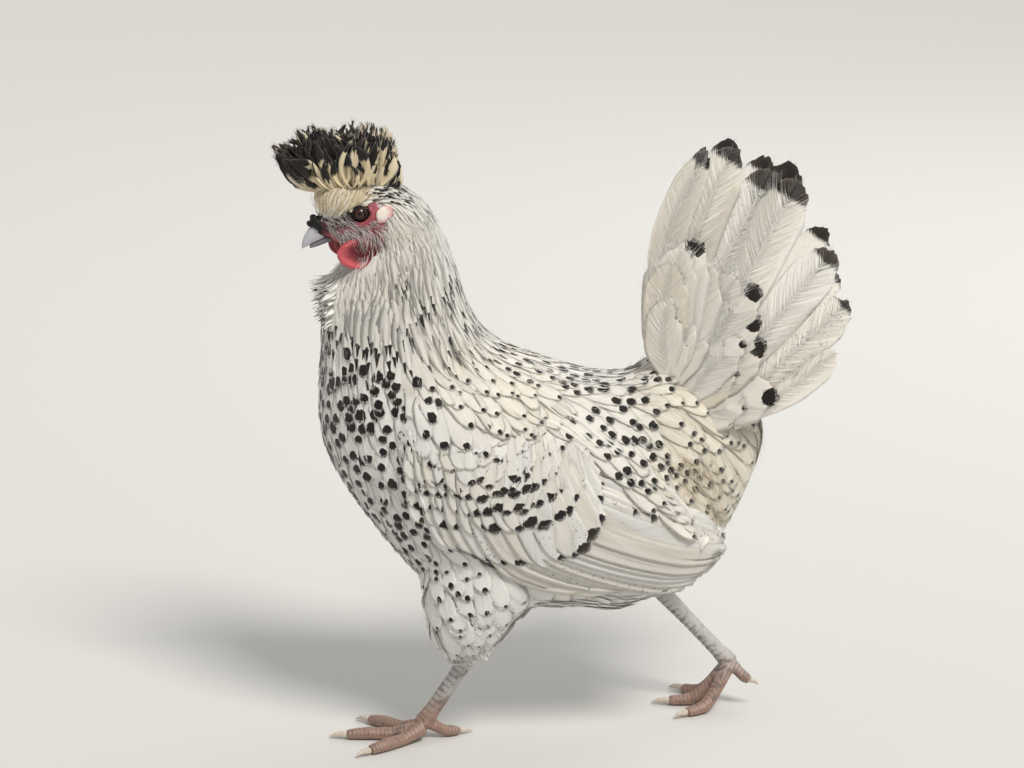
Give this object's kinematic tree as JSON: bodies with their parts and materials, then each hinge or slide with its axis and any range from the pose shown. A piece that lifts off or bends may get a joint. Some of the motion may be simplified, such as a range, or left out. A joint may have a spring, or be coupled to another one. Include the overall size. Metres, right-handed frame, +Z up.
{
  "type": "chicken",
  "caption": "Crested, silver-spangled hen walking: rounded body, upright fanned tail, blown crest over a pale bill, red wattles, folded wings, bare scaled legs and spread toes.",
  "frame": {"origin": "on the floor, under the middle of the whole bird's box in X and Y", "axes": "+Z up from the floor; the hen faces -X and its left side is towards -Y"},
  "size_m": [0.3622, 0.1462, 0.4045],
  "materials": {
    "plumage": "soft off-white feathers with black spangles",
    "crest_feather": "narrow buff feathers with black tips",
    "red_skin": "bare red skin, slightly moist",
    "lobe_skin": "bare off-white skin",
    "bill_horn": "smooth pale horn",
    "comb": "dark rough skin",
    "eye": "wet and glossy",
    "scaled_leg": "dry slate-grey scales",
    "claw": "pale horn"
  },
  "bodies": {
    "root": {"trunk": "plumage", "neck": "plumage", "head": "plumage", "tail": "plumage", "wing_left": "plumage", "wing_right": "plumage", "thigh_left": "plumage", "thigh_right": "plumage", "crest": "crest_feather", "bill_upper": "bill_horn", "bill_lower": "bill_horn", "comb": "comb", "eye_left": "eye", "eye_right": "eye", "earlobe_left": "lobe_skin", "earlobe_right": "lobe_skin", "wattle_left": "red_skin", "wattle_right": "red_skin", "shank_left": "scaled_leg", "shank_right": "scaled_leg", "toe_left_inner": "scaled_leg", "toe_left_middle": "scaled_leg", "toe_left_outer": "scaled_leg", "toe_left_hind": "scaled_leg", "toe_right_inner": "scaled_leg", "toe_right_middle": "scaled_leg", "toe_right_outer": "scaled_leg", "toe_right_hind": "scaled_leg", "claw_left_inner": "claw", "claw_left_middle": "claw", "claw_left_outer": "claw", "claw_left_hind": "claw", "claw_right_inner": "claw", "claw_right_middle": "claw", "claw_right_outer": "claw", "claw_right_hind": "claw"}
  },
  "joints": []
}
